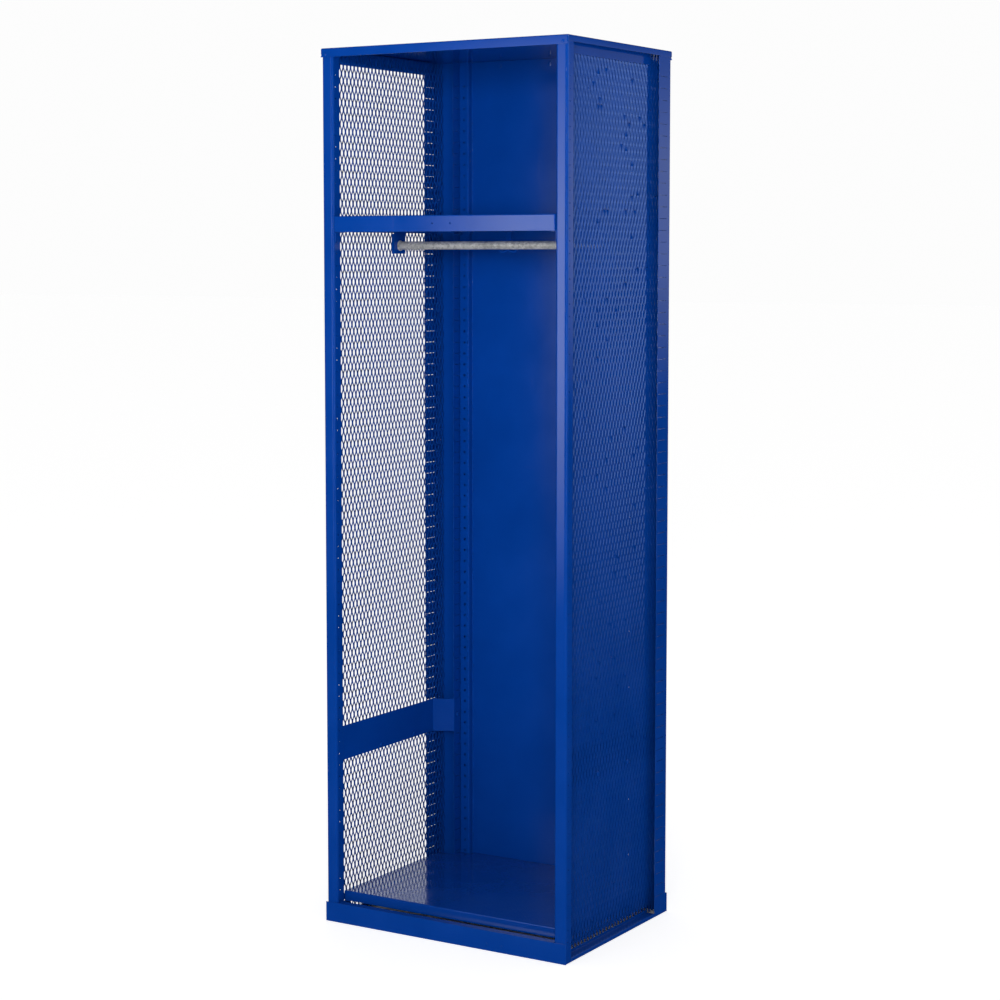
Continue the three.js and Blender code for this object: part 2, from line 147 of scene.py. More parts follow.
class Wiring:
    # Short words for adding and joining nodes in one tree.
    def __init__(self, tree):
        self.tree = tree

    def node(self, kind, **settings):
        made = self.tree.nodes.new(kind)
        for key, value in settings.items():
            setattr(made, key, value)
        return made

    def link(self, start, end):
        self.tree.links.new(start, end)

    def noise(self, coords, scale, detail=2.0, roughness=0.5):
        made = self.node("ShaderNodeTexNoise")
        made.inputs["Scale"].default_value = scale
        made.inputs["Detail"].default_value = detail
        made.inputs["Roughness"].default_value = roughness
        self.link(coords, made.inputs["Vector"])
        return made.outputs["Fac"]

    def math(self, operation, first, second=None):
        made = self.node("ShaderNodeMath", operation=operation)
        for i, value in enumerate((first, second)):
            if value is None:
                continue
            if isinstance(value, (int, float)):
                made.inputs[i].default_value = value
            else:
                self.link(value, made.inputs[i])
        return made.outputs[0]

    def remap(self, value, fromLow, fromHigh, toLow, toHigh):
        made = self.node("ShaderNodeMapRange")
        made.clamp = True
        limits = (("From Min", fromLow), ("From Max", fromHigh), ("To Min", toLow), ("To Max", toHigh))
        for label, limit in limits:
            if isinstance(limit, (int, float)):
                made.inputs[label].default_value = limit
            else:
                self.link(limit, made.inputs[label])
        self.link(value, made.inputs["Value"])
        return made.outputs["Result"]

    def mixColour(self, amount, first, second):
        made = self.node("ShaderNodeMix", data_type="RGBA")
        for socket, value in ((made.inputs[0], amount), (made.inputs[6], first), (made.inputs[7], second)):
            if isinstance(value, (int, float, tuple)):
                socket.default_value = value
            else:
                self.link(value, socket)
        return made.outputs[2]

    def objectCoords(self):
        return self.node("ShaderNodeTexCoord").outputs["Object"]


peelLook = {"shares": (("Wave", 0.6), ("Dimple", 0.4)), "detail": 1.5, "mottle": (7.0, 4.0, 0.6)}


def makeOrangePeel(p=peelLook):
    # Sprayed enamel: a slow wave, a tight dimple and a little grit.
    tree, source, sink = groupTree(
        "orangePeel",
        [("Wave", "NodeSocketFloat", 90.0), ("Dimple", "NodeSocketFloat", 420.0)],
        [("Height", "NodeSocketFloat"), ("Mottle", "NodeSocketFloat")],
    )
    w = Wiring(tree)
    coords = w.objectCoords()
    heights = []
    for label, share in p["shares"]:
        made = w.node("ShaderNodeTexNoise")
        made.inputs["Detail"].default_value = p["detail"]
        w.link(coords, made.inputs["Vector"])
        w.link(source.outputs[label], made.inputs["Scale"])
        heights.append(w.math("MULTIPLY", made.outputs["Fac"], share))
    w.link(w.math("ADD", heights[0], heights[1]), sink.inputs["Height"])
    w.link(w.noise(coords, *p["mottle"]), sink.inputs["Mottle"])
    return tree


wearLook = {"samples": 3, "lean": (0.999, 0.86, 0.0, 1.0), "detail": 3.0, "broken": (0.38, 0.62, 0.25, 1.0)}


def makeEdgeWear(p=wearLook):
    # Finds edges by how far a rounded normal leans from the true one, then breaks the line up.
    tree, source, sink = groupTree(
        "edgeWear",
        [
            ("Radius", "NodeSocketFloat", 0.8 * mm),
            ("Patchiness", "NodeSocketFloat", 60.0),
            ("Amount", "NodeSocketFloat", 0.6),
        ],
        [("Mask", "NodeSocketFloat")],
    )
    w = Wiring(tree)
    rounded = w.node("ShaderNodeBevel", samples=p["samples"])
    w.link(source.outputs["Radius"], rounded.inputs["Radius"])
    true = w.node("ShaderNodeNewGeometry").outputs["Normal"]
    dot = w.node("ShaderNodeVectorMath", operation="DOT_PRODUCT")
    w.link(rounded.outputs["Normal"], dot.inputs[0])
    w.link(true, dot.inputs[1])
    lean = w.remap(dot.outputs["Value"], *p["lean"])
    patches = w.node("ShaderNodeTexNoise")
    patches.inputs["Detail"].default_value = p["detail"]
    w.link(w.objectCoords(), patches.inputs["Vector"])
    w.link(source.outputs["Patchiness"], patches.inputs["Scale"])
    broken = w.remap(patches.outputs["Fac"], *p["broken"])
    mask = w.math("MULTIPLY", lean, broken)
    w.link(w.math("MULTIPLY", mask, source.outputs["Amount"]), sink.inputs["Mask"])
    return tree


dustLook = {
    "facing": (0.55, 0.98, 0.0, 1.0),
    "detail": 3.0,
    "specks": (0.42, 0.72, 0.15, 1.0),
    "drift": (5.0, 3.0, 0.55),
    "drifts": (0.35, 0.7, 0.2, 1.0),
}


def makeDust(p=dustLook):
    # Fine dust that settles on faces that look up.
    tree, source, sink = groupTree(
        "settledDust",
        [("Amount", "NodeSocketFloat", 0.3), ("Grain", "NodeSocketFloat", 320.0)],
        [("Mask", "NodeSocketFloat")],
    )
    w = Wiring(tree)
    texture = w.node("ShaderNodeTexCoord")
    parts = w.node("ShaderNodeSeparateXYZ")
    w.link(texture.outputs["Normal"], parts.inputs[0])
    facing = w.remap(parts.outputs["Z"], *p["facing"])
    grain = w.node("ShaderNodeTexNoise")
    grain.inputs["Detail"].default_value = p["detail"]
    w.link(texture.outputs["Object"], grain.inputs["Vector"])
    w.link(source.outputs["Grain"], grain.inputs["Scale"])
    specks = w.remap(grain.outputs["Fac"], *p["specks"])
    drifts = w.remap(w.noise(texture.outputs["Object"], *p["drift"]), *p["drifts"])
    mask = w.math("MULTIPLY", w.math("MULTIPLY", facing, specks), drifts)
    w.link(w.math("MULTIPLY", mask, source.outputs["Amount"]), sink.inputs["Mask"])
    return tree


rubLook = {
    "stretches": ((260.0, 260.0, 7.0), (6.0, 240.0, 240.0)),
    "grain": (1.0, 2.0, 0.5),
    "lines": (0.66, 0.74, 0.0, 1.0),
}


def makeFineScratches(p=rubLook):
    # Hairline rub marks: one noise stretched along Z, one along X.
    tree, source, sink = groupTree(
        "rubMarks",
        [("Amount", "NodeSocketFloat", 0.3)],
        [("Mask", "NodeSocketFloat")],
    )
    w = Wiring(tree)
    coords = w.objectCoords()
    lines = []
    for stretch in p["stretches"]:
        scaled = w.node("ShaderNodeMapping")
        scaled.inputs["Scale"].default_value = stretch
        w.link(coords, scaled.inputs["Vector"])
        lines.append(w.remap(w.noise(scaled.outputs[0], *p["grain"]), *p["lines"]))
    both = w.math("MAXIMUM", lines[0], lines[1])
    w.link(w.math("MULTIPLY", both, source.outputs["Amount"]), sink.inputs["Mask"])
    return tree


groups = {
    "orangePeel": makeOrangePeel(),
    "edgeWear": makeEdgeWear(),
    "settledDust": makeDust(),
    "rubMarks": makeFineScratches(),
}


def shaderStart(name):
    material = bpy.data.materials.new(name)
    material.use_nodes = True
    shader = material.node_tree.nodes["Principled BSDF"]
    return material, shader, Wiring(material.node_tree)


def useGroup(w, name, **values):
    made = w.node("ShaderNodeGroup")
    made.node_tree = groups[name]
    for label, value in values.items():
        made.inputs[label].default_value = value
    return made


def addBump(w, shader, height, strength, distance):
    bump = w.node("ShaderNodeBump")
    bump.inputs["Strength"].default_value = strength
    bump.inputs["Distance"].default_value = distance
    w.link(height, bump.inputs["Height"])
    w.link(bump.outputs["Normal"], shader.inputs["Normal"])


enamelFinish = {
    "deep": (0.0006, 0.050, 0.335, 1),
    "bright": (0.0008, 0.058, 0.385, 1),
    "worn": (0.04, 0.13, 0.40, 1),
    "dust": (0.30, 0.36, 0.48, 1),
    "gloss": 0.08,
    "dull": 0.16,
    "coat": 0.35,
    "coatRoughness": 0.04,
    "edgeRadius": 0.8 * mm,
    "edgePatches": 55.0,
    "dimple": 420.0,
    "dimpleDepth": 0.12 * mm,
    "mottleSpan": (0.3, 0.7),
    "dustGrain": 420.0,
    "dustRoughness": 0.8,
    "rubAmount": 0.22,
    "rubRoughness": 0.35,
}


def enamel(name, wear=0.5, dust=0.08, wave=90.0, peel=0.35, finish=enamelFinish):
    material, shader, w = shaderStart(name)
    edge, patches = finish["edgeRadius"], finish["edgePatches"]
    peelNode = useGroup(w, "orangePeel", Wave=wave, Dimple=finish["dimple"])
    wearNode = useGroup(w, "edgeWear", Radius=edge, Patchiness=patches, Amount=wear)
    dustNode = useGroup(w, "settledDust", Amount=dust, Grain=finish["dustGrain"])
    rubNode = useGroup(w, "rubMarks", Amount=finish["rubAmount"])
    mottle = w.remap(peelNode.outputs["Mottle"], *finish["mottleSpan"], 0.0, 1.0)
    paint = w.mixColour(mottle, finish["deep"], finish["bright"])
    edged = w.mixColour(wearNode.outputs["Mask"], paint, finish["worn"])
    dusty = w.mixColour(dustNode.outputs["Mask"], edged, finish["dust"])
    w.link(dusty, shader.inputs["Base Color"])
    gloss = w.remap(peelNode.outputs["Mottle"], *finish["mottleSpan"], finish["gloss"], finish["dull"])
    rubs = w.math("MULTIPLY", rubNode.outputs["Mask"], finish["rubRoughness"])
    dulled = w.math("MULTIPLY", dustNode.outputs["Mask"], finish["dustRoughness"])
    w.link(w.math("ADD", w.math("ADD", gloss, rubs), dulled), shader.inputs["Roughness"])
    shader.inputs["Coat Weight"].default_value = finish["coat"]
    shader.inputs["Coat Roughness"].default_value = finish["coatRoughness"]
    addBump(w, shader, peelNode.outputs["Height"], peel, finish["dimpleDepth"])
    return material


galvanised = {
    "dark": (0.42, 0.42, 0.40, 1),
    "light": (0.92, 0.92, 0.88, 1),
    "spangle": 190.0,
    "spangleShare": 0.45,
    "bloom": (22.0, 5.0, 0.65),
    "bloomShare": 0.75,
    "edgeRadius": 0.5 * mm,
    "edgePatches": 90.0,
    "wear": 0.5,
    "metallic": 0.35,
    "toneSpan": (0.25, 0.95),
    "worn": (0.8, 0.8, 0.8, 1),
    "grain": (900.0, 2.0),
    "grainDepth": 0.04 * mm,
    "grainStrength": 0.25,
}


def zincCoated(name, roughLow, roughHigh, finish=galvanised):
    material, shader, w = shaderStart(name)
    coords = w.objectCoords()
    cells = w.node("ShaderNodeTexVoronoi")
    cells.inputs["Scale"].default_value = finish["spangle"]
    w.link(coords, cells.inputs["Vector"])
    grey = w.node("ShaderNodeSeparateColor")
    w.link(cells.outputs["Color"], grey.inputs[0])
    bloom = w.noise(coords, *finish["bloom"])
    flecks = w.math("MULTIPLY", grey.outputs[0], finish["spangleShare"])
    tone = w.math("ADD", flecks, w.math("MULTIPLY", bloom, finish["bloomShare"]))
    edge, patches = finish["edgeRadius"], finish["edgePatches"]
    wearNode = useGroup(w, "edgeWear", Radius=edge, Patchiness=patches, Amount=finish["wear"])
    metal = w.mixColour(w.remap(tone, *finish["toneSpan"], 0.0, 1.0), finish["dark"], finish["light"])
    w.link(w.mixColour(wearNode.outputs["Mask"], metal, finish["worn"]), shader.inputs["Base Color"])
    w.link(w.remap(tone, *finish["toneSpan"], roughLow, roughHigh), shader.inputs["Roughness"])
    shader.inputs["Metallic"].default_value = finish["metallic"]
    grain = w.math("ADD", grey.outputs[1], w.noise(coords, *finish["grain"]))
    addBump(w, shader, grain, finish["grainStrength"], finish["grainDepth"])
    return material


# Painted shade: the expanded mesh gets a darker copy of the same blue enamel, which stands in for shade on
# the mesh; it is not a different paint.
paintedShadePaint = {"deep": (0.0006, 0.040, 0.27, 1), "bright": (0.0008, 0.047, 0.31, 1)}
paintedShadeFinish = enamelFinish | paintedShadePaint
finishes = {
    "blue_enamel": enamel("blueEnamel"),
    "expanded_mesh": enamel("meshEnamel", wear=0.3, wave=150.0, peel=0.25, finish=paintedShadeFinish),
    "painted_bolts": enamel("boltEnamel", wear=0.9, dust=0.1, wave=300.0, peel=0.3),
    "zinc_tube": zincCoated("zincTube", 0.28, 0.46),
    "zinc_fittings": zincCoated("zincFitting", 0.24, 0.4),
}
print("finishes ready")


def geometryTree(name, inputs):
    tree = bpy.data.node_groups.new(name, "GeometryNodeTree")
    ids = {}
    for label, kind in [("Geometry", "NodeSocketGeometry")] + inputs:
        ids[label] = tree.interface.new_socket(label, in_out="INPUT", socket_type=kind).identifier
    tree.interface.new_socket("Geometry", in_out="OUTPUT", socket_type="NodeSocketGeometry")
    source = tree.nodes.new("NodeGroupInput")
    sink = tree.nodes.new("NodeGroupOutput")
    return tree, Wiring(tree), source, sink, ids


def closeTree(w, geometry, material, sink):
    realize = w.node("GeometryNodeRealizeInstances")
    w.link(geometry, realize.inputs["Geometry"])
    setMaterial = w.node("GeometryNodeSetMaterial")
    w.link(realize.outputs[0], setMaterial.inputs["Geometry"])
    w.link(material, setMaterial.inputs["Material"])
    w.link(setMaterial.outputs[0], sink.inputs["Geometry"])


def lineOf(w, count, start, step):
    # Points at start, start + step, start + 2 step ...
    line = w.node("GeometryNodeMeshLine", mode="OFFSET")
    w.link(count, line.inputs["Count"])
    w.link(start, line.inputs["Start Location"])
    w.link(step, line.inputs["Offset"])
    return line.outputs["Mesh"]


def onPoints(w, points, geometry):
    spread = w.node("GeometryNodeInstanceOnPoints")
    w.link(points, spread.inputs["Points"])
    w.link(geometry, spread.inputs["Instance"])
    return spread.outputs["Instances"]


def makeStackTree():
    # One course of a rolled section, repeated up the piece and joined to its plain ends.
    tree, w, source, sink, ids = geometryTree(
        "punchedStack",
        [
            ("Course", "NodeSocketObject"),
            ("Count", "NodeSocketInt"),
            ("Start", "NodeSocketVector"),
            ("Pitch", "NodeSocketVector"),
            ("Material", "NodeSocketMaterial"),
        ],
    )
    course = w.node("GeometryNodeObjectInfo")
    w.link(source.outputs["Course"], course.inputs["Object"])
    points = lineOf(w, source.outputs["Count"], source.outputs["Start"], source.outputs["Pitch"])
    join = w.node("GeometryNodeJoinGeometry")
    w.link(onPoints(w, points, course.outputs["Geometry"]), join.inputs[0])
    w.link(source.outputs["Geometry"], join.inputs[0])
    closeTree(w, join.outputs[0], source.outputs["Material"], sink)
    return tree, ids


def makeLatticeTree():
    # One diamond, repeated back along the sheet and then up it.
    tree, w, source, sink, ids = geometryTree(
        "expandedSheet",
        [
            ("Diamond", "NodeSocketObject"),
            ("Columns", "NodeSocketInt"),
            ("Rows", "NodeSocketInt"),
            ("Start", "NodeSocketVector"),
            ("Column step", "NodeSocketVector"),
            ("Row step", "NodeSocketVector"),
            ("Material", "NodeSocketMaterial"),
        ],
    )
    diamond = w.node("GeometryNodeObjectInfo")
    w.link(source.outputs["Diamond"], diamond.inputs["Object"])
    zero = w.node("ShaderNodeCombineXYZ")
    columns = lineOf(w, source.outputs["Columns"], zero.outputs[0], source.outputs["Column step"])
    row = onPoints(w, columns, diamond.outputs["Geometry"])
    rows = lineOf(w, source.outputs["Rows"], source.outputs["Start"], source.outputs["Row step"])
    closeTree(w, onPoints(w, rows, row), source.outputs["Material"], sink)
    return tree, ids


def makeFastenerTree():
    # The same fastener at every vertex of the working mesh.
    tree, w, source, sink, ids = geometryTree(
        "fasteners",
        [("Fastener", "NodeSocketObject"), ("Material", "NodeSocketMaterial")],
    )
    fastener = w.node("GeometryNodeObjectInfo")
    w.link(source.outputs["Fastener"], fastener.inputs["Object"])
    placed = onPoints(w, source.outputs["Geometry"], fastener.outputs["Geometry"])
    closeTree(w, placed, source.outputs["Material"], sink)
    return tree, ids


stackTree = makeStackTree()
latticeTree = makeLatticeTree()
fastenerTree = makeFastenerTree()


def runTree(base, treeAndIds, name, angle=smoothAngle, **values):
    tree, ids = treeAndIds
    obj = tempObject(base)
    modifier = obj.modifiers.new("nodes", "NODES")
    modifier.node_group = tree
    for label, value in values.items():
        modifier[ids[label.replace("_", " ")]] = value
    return finished(bakedMesh(obj, name + "Plain"), name, angle)


def turnLeft(d):
    return Vector((-d.y, d.x))


def bentLine(corners, bend, steps):
    # Stations along a sheet's middle line: each is a point and the sheet's normal there.
    points = [Vector(c) for c in corners]
    headings = [(b - a).normalized() for a, b in zip(points, points[1:])]
    stations = [(points[0], turnLeft(headings[0]))]
    for corner, into, out in zip(points[1:], headings, headings[1:]):
        turn = math.atan2(into.x * out.y - into.y * out.x, into.dot(out))
        hand = math.copysign(1, turn)
        start = corner - into * bend * math.tan(abs(turn) / 2)
        centre = start + turnLeft(into) * hand * bend
        for step in range(steps + 1):
            angle = turn * step / steps
            c, s = math.cos(angle), math.sin(angle)
            heading = Vector((into.x * c - into.y * s, into.x * s + into.y * c))
            normal = turnLeft(heading)
            stations.append((centre - normal * hand * bend, normal))
    stations.append((points[-1], turnLeft(headings[-1])))
    return stations


endSteps = 4
roundEnd = [math.pi * step / endSteps for step in range(endSteps + 1)]


def sectionCourse(stations, thickness, bottom, top, openings=None, closeBottom=False, closeTop=False):
    # One course of a sheet section from bottom to top. openings maps a strip's index to outlines in it.
    openings = openings or {}
    bm = bmesh.new()
    half = thickness / 2

    def at(index, share, z, face):
        (a, na), (b, nb) = stations[index], stations[index + 1]
        point = a.lerp(b, share) + na.lerp(nb, share) * half * face
        return (point.x, point.y, z)

    def quad(points):
        bm.faces.new([bm.verts.new(p) for p in points])

    for index in range(len(stations) - 1):
        length = (stations[index + 1][0] - stations[index][0]).length
        outlines = openings.get(index, [])
        for face in (1, -1):
            if not outlines:
                quad([at(index, s, z, face) for s, z in ((0, bottom), (1, bottom), (1, top), (0, top))])
                continue
            field = [(0, bottom), (length, bottom), (length, top), (0, top)]
            loops = [[Vector((x, y, 0)) for x, y in loop] for loop in [field] + outlines]
            flat = [v for loop in loops for v in loop]
            for corner in tessellate_polygon(loops):
                quad([at(index, flat[i].x / length, flat[i].y, face) for i in corner])
        for outline in outlines:
            for (xa, ya), (xb, yb) in zip(outline, outline[1:] + outline[:1]):
                ends = ((xa, ya, 1), (xb, yb, 1), (xb, yb, -1), (xa, ya, -1))
                quad([at(index, x / length, y, face) for x, y, face in ends])
        for level, wanted in ((bottom, closeBottom), (top, closeTop)):
            if wanted:
                quad([at(index, s, level, face) for s, face in ((0, 1), (1, 1), (1, -1), (0, -1))])
    for index, outward in ((0, -1), (len(stations) - 1, 1)):
        point, normal = stations[index]
        along = Vector((normal.y, -normal.x)) * outward
        arc = [point + normal * half * math.cos(a) + along * half * math.sin(a) for a in roundEnd]
        for a, b in zip(arc, arc[1:]):
            quad([(a.x, a.y, bottom), (b.x, b.y, bottom), (b.x, b.y, top), (a.x, a.y, top)])
        for level, wanted in ((bottom, closeBottom), (top, closeTop)):
            if wanted:
                quad([(p.x, p.y, level) for p in arc])
    return bm


def roundOutline(x, z, radius, count=10):
    turns = [2 * math.pi * (k + 0.5) / count for k in range(count)]
    return [(x + radius * math.cos(t), z + radius * math.sin(t)) for t in turns]


def slitOutline(x0, x1, z, height, steps=3):
    # A punched slit with round ends.
    r = height / 2
    turns = [math.pi * k / steps for k in range(steps + 1)]
    rightEnd = [(x1 - r + r * math.sin(t), z - r * math.cos(t)) for t in turns]
    leftEnd = [(x0 + r - r * math.sin(t), z + r * math.cos(t)) for t in turns]
    return rightEnd + leftEnd


def punchedStack(name, stations, thickness, openings, levels, course):
    # Plain ends below and above, and the punched course repeated between them.
    bottom, top = levels
    pitch, count = course["pitch"], course["count"]
    start = course["first"] - pitch / 2
    end = start + count * pitch
    ends = sectionCourse(stations, thickness, bottom, start, closeBottom=True)
    upperEnd = rawMesh(sectionCourse(stations, thickness, end, top, closeTop=True), "upperEnd")
    ends.from_mesh(upperEnd)
    bpy.data.meshes.remove(upperEnd)
    courseObject = tempObject(rawMesh(sectionCourse(stations, thickness, 0, pitch, openings), "course"))
    mesh = runTree(
        rawMesh(ends, "plainEnds"),
        stackTree,
        name,
        Course=courseObject,
        Count=count,
        Start=(0.0, 0.0, start),
        Pitch=(0.0, 0.0, pitch),
        Material=finishes["blue_enamel"],
    )
    bpy.data.objects.remove(courseObject)
    return mesh


punching = {
    "pitch": 25.4 * mm,
    "count": 72,
    "first": 45.0 * mm,
    "sheet": 1.5 * mm,
    "bendSteps": 6,
    "holeRadius": 1.8 * mm,
    "holeSetback": 9.5 * mm,
    "slitHeight": 1.1 * mm,
    "outerSlit": (2.5 * mm, 38.0 * mm),
    "innerSlit": (4.5 * mm, 24.0 * mm),
    "frontBend": 5.0 * mm,
    "rearBend": 3.0 * mm,
    "rearStagger": 13.0 * mm,
}


def postLines(low, high, side, half):
    # The middle lines of a post's outer and inner flanges.
    return (low.x + half, high.x - half) if side < 0 else (high.x - half, low.x + half)


def frontPost(name, side, p=punching):
    low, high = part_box("front_post_" + name)
    half = p["sheet"] / 2
    outerX, innerX = postLines(low, high, side, half)
    faceY = low.y + half
    tipY = high.y - half
    corners = [(outerX, tipY), (outerX, faceY), (innerX, faceY), (innerX, tipY)]
    stations = bentLine(corners, p["frontBend"], p["bendSteps"])
    z = p["pitch"] / 2
    outerHole = roundOutline(tipY - faceY - p["holeSetback"], z, p["holeRadius"])
    innerHole = roundOutline(p["holeSetback"] - p["frontBend"] + half, z, p["holeRadius"])
    openings = {0: [outerHole], len(stations) - 2: [innerHole]}
    mesh = punchedStack("frontPost_" + name, stations, p["sheet"], openings, (low.z, high.z), p)
    place("frontPost_" + name, mesh, "blue_enamel", "locker", "front_post_" + name)


def rearPost(name, side, p=punching):
    low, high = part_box("rear_post_" + name)
    half = p["sheet"] / 2
    outerX, innerX = postLines(low, high, side, half)
    faceY = high.y - half
    outerTip = low.y + half
    innerTip = outerTip + p["rearStagger"]
    corners = [(outerX, outerTip), (outerX, faceY), (innerX, faceY), (innerX, innerTip)]
    stations = bentLine(corners, p["rearBend"], p["bendSteps"])
    z = p["pitch"] / 2
    innerLength = faceY - innerTip - p["rearBend"]
    innerStart, innerEnd = p["innerSlit"]
    outerSlit = slitOutline(*p["outerSlit"], z, p["slitHeight"])
    innerSlit = slitOutline(innerLength - innerEnd, innerLength - innerStart, z, p["slitHeight"])
    openings = {0: [outerSlit], len(stations) - 2: [innerSlit]}
    mesh = punchedStack("rearPost_" + name, stations, p["sheet"], openings, (low.z, high.z), p)
    place("rearPost_" + name, mesh, "blue_enamel", "locker", "rear_post_" + name)


for name, side in sides:
    frontPost(name, side)
    rearPost(name, side)
print("posts ready")


backSheet = {
    "sheet": 1.2 * mm,
    "bend": 3.0 * mm,
    "bendSteps": 5,
    "border": 26.0 * mm,
    "holeRadius": 3.0 * mm,
    "holeSides": 12,
    "holeShare": 0.58,
}


def backPanel(p=backSheet):
    low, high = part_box("back_panel")
    half = p["sheet"] / 2
    panelY = high.y - half
    raisedY = low.y + half
    starts = high.x - half
    inner = high.x - p["border"] + half
    returnTip = inner + p["sheet"]
    right = [(returnTip, panelY), (starts, panelY), (starts, raisedY), (inner, raisedY), (inner, panelY)]
    left = [(-x, y) for x, y in reversed(right)]
    stations = bentLine(right + left, p["bend"], p["bendSteps"])
    z = punching["pitch"] / 2
    openings = {}
    for index, ((a, _), (b, _)) in enumerate(zip(stations, stations[1:])):
        length = (b - a).length
        raised = max(abs(a.y - raisedY), abs(b.y - raisedY)) < samePlane
        if raised and length > p["border"] / 2:
            share = p["holeShare"] if a.x > 0 else 1 - p["holeShare"]
            openings[index] = [roundOutline(length * share, z, p["holeRadius"], p["holeSides"])]
    mesh = punchedStack("backPanel", stations, p["sheet"], openings, (low.z, high.z), punching)
    place("backPanel", mesh, "blue_enamel", "locker", "back_panel")


backPanel()
print("back panel ready")


expanded = {
    "columns": 32,
    "rows": 61,
    "strand": 3.4 * mm,
    "sheet": 1.7 * mm,
    "tilt": math.radians(17),
    "knot": 0.085,
    "inset": 1.2 * mm,
}


def diamond(short, long, side, p=expanded):
    # Four strands: each runs through half a knot, slants across, and runs through half of the next knot.
    bm = bmesh.new()
    lean = Vector((side * math.sin(p["tilt"]), math.cos(p["tilt"]), 0))
    square = Vector((side * math.cos(p["tilt"]), -math.sin(p["tilt"]), 0))
    levels = ((0.0, 0.0), (p["knot"], 0.0), (0.5 - p["knot"], 1.0), (0.5, 1.0))
    corners = ((-0.5, -0.5), (0.5, -0.5), (0.5, 0.5), (-0.5, 0.5))

    def strand(fromY, base, reach):
        rings = []
        for share, across in levels:
            middle = Vector((0, fromY + short / 2 * across, 0))
            middle += lean * p["strand"] * (0.5 - across)
            ring = []
            for u, v in corners:
                point = middle + lean * p["strand"] * u + square * p["sheet"] * v
                ring.append(bm.verts.new((point.x, point.y, base + reach * share * 2)))
            rings.append(ring)
        for a, b in zip(rings, rings[1:]):
            for k in range(4):
                bm.faces.new((a[k], a[(k + 1) % 4], b[(k + 1) % 4], b[k]))

    for fromY, base in ((0.0, 0.0), (short / 2, long / 2)):
        for direction in (1, -1):
            strand(fromY, base, direction * long / 2)
    bmesh.ops.recalc_face_normals(bm, faces=bm.faces)
    return rawMesh(bm, "diamond")


def meshPanel(name, side, p=expanded):
    low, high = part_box("mesh_panel_" + name)
    inset = p["inset"]
    short = (high.y - low.y - 2 * inset) / (p["columns"] + 0.5)
    long = (high.z - low.z - 2 * inset) / (p["rows"] + 0.5)
    middleX = (low.x + high.x) / 2
    cell = tempObject(diamond(short, long, side))
    base = bpy.data.meshes.new("meshBase")
    mesh = runTree(
        base,
        latticeTree,
        "meshPanel_" + name,
        Diamond=cell,
        Columns=p["columns"],
        Rows=p["rows"],
        Start=(middleX, low.y + inset, low.z + inset + long / 2),
        Column_step=(0.0, short, 0.0),
        Row_step=(0.0, 0.0, long),
        Material=finishes["expanded_mesh"],
    )
    bpy.data.objects.remove(cell)
    place("meshPanel_" + name, mesh, "expanded_mesh", "locker", "mesh_panel_" + name)
    print("mesh panel", name, "triangles", sum(len(f.vertices) - 2 for f in mesh.polygons))


for name, side in sides:
    meshPanel(name, side)


pans = {
    "sheet": 1.5 * mm,
    "bend": 2.6 * mm,
    "segments": 4,
    "cutEdge": 0.3 * mm,
    "topSideDrop": 13.0 * mm,
    "gap": 0.3 * mm,
    "borderGap": 3.3 * mm,
    "lipHoleX": 22.4 * mm,
    "lipHoleRise": 17.0 * mm,
    "lipHoleRadius": 1.6 * mm,
    "lipHoleLength": 8.0 * mm,
}


def solidSheet(bm, name, thickness, cutEdge, cutters=()):
    mesh = meshFromBmesh(bm, name + "Skin")
    obj = tempObject(smoothed(mesh))
    solid = obj.modifiers.new("wall", "SOLIDIFY")
    solid.thickness = thickness
    solid.offset = -1
    solid.use_even_offset = True
    for cutter in cutters:
        cut = obj.modifiers.new("cut", "BOOLEAN")
        cut.operation = "DIFFERENCE"
        cut.solver = "EXACT"
        cut.object = cutter
    edge = obj.modifiers.new("edge", "BEVEL")
    edge.width = cutEdge
    edge.segments = 2
    edge.limit_method = "ANGLE"
    edge.angle_limit = cutTurn
    return finished(bakedMesh(obj, name + "Raw"), name)


def punchAlongY(centre, radius, length, sideCount=24):
    # A round cutter for a Boolean.
    bm = bmesh.new()
    bmesh.ops.create_cone(bm, cap_ends=True, segments=sideCount, radius1=radius, radius2=radius, depth=length)
    bmesh.ops.rotate(bm, verts=bm.verts, matrix=Matrix.Rotation(math.radians(90), 3, "X"))
    bmesh.ops.translate(bm, verts=bm.verts, vec=centre)
    return tempObject(meshFromBmesh(bm, "cutter"))


def panSkin(outline, top, drops, bend, segments):
    # Outer face of a pressed pan: the flat, and a flange on each side as deep as its own drop.
    bm = bmesh.new()
    count = len(outline)
    upper = [bm.verts.new((x, y, top)) for x, y in outline]
    bm.faces.new(upper)
    lowers = {}

    def lower(i, drop):
        key = (i, round(drop, 6))
        if key not in lowers:
            lowers[key] = bm.verts.new((outline[i][0], outline[i][1], top - drop))
        return lowers[key]

    for i in range(count):
        j = (i + 1) % count
        drop = drops[i]
        ring = [upper[i], upper[j]]
        for corner, neighbour in ((j, drops[j]), (i, drops[i - 1])):
            stops = sorted({round(d, 6) for d in (drop, neighbour) if d <= drop + 1e-9})
            path = [lower(corner, d) for d in stops]
            ring += path if corner == j else list(reversed(path))
        bm.faces.new(ring)
    bmesh.ops.recalc_face_normals(bm, faces=bm.faces)
    folds = [e for e in bm.edges if len(e.link_faces) == 2]
    rounding = {"offset": bend, "segments": segments, "profile": 0.5, "clamp_overlap": True}
    bmesh.ops.bevel(bm, geom=folds, affect="EDGES", **rounding)
    return bm


def topPan(p=pans):
    low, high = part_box("top_pan")
    outline = [(low.x, low.y), (high.x, low.y), (high.x, high.y), (low.x, high.y)]
    tall = high.z - low.z
    drops = [tall, p["topSideDrop"], tall, p["topSideDrop"]]
    skin = panSkin(outline, high.z, drops, p["bend"], p["segments"])
    mesh = solidSheet(skin, "topPan", p["sheet"], p["cutEdge"])
    place("topPan", mesh, "blue_enamel", "locker", "top_pan")


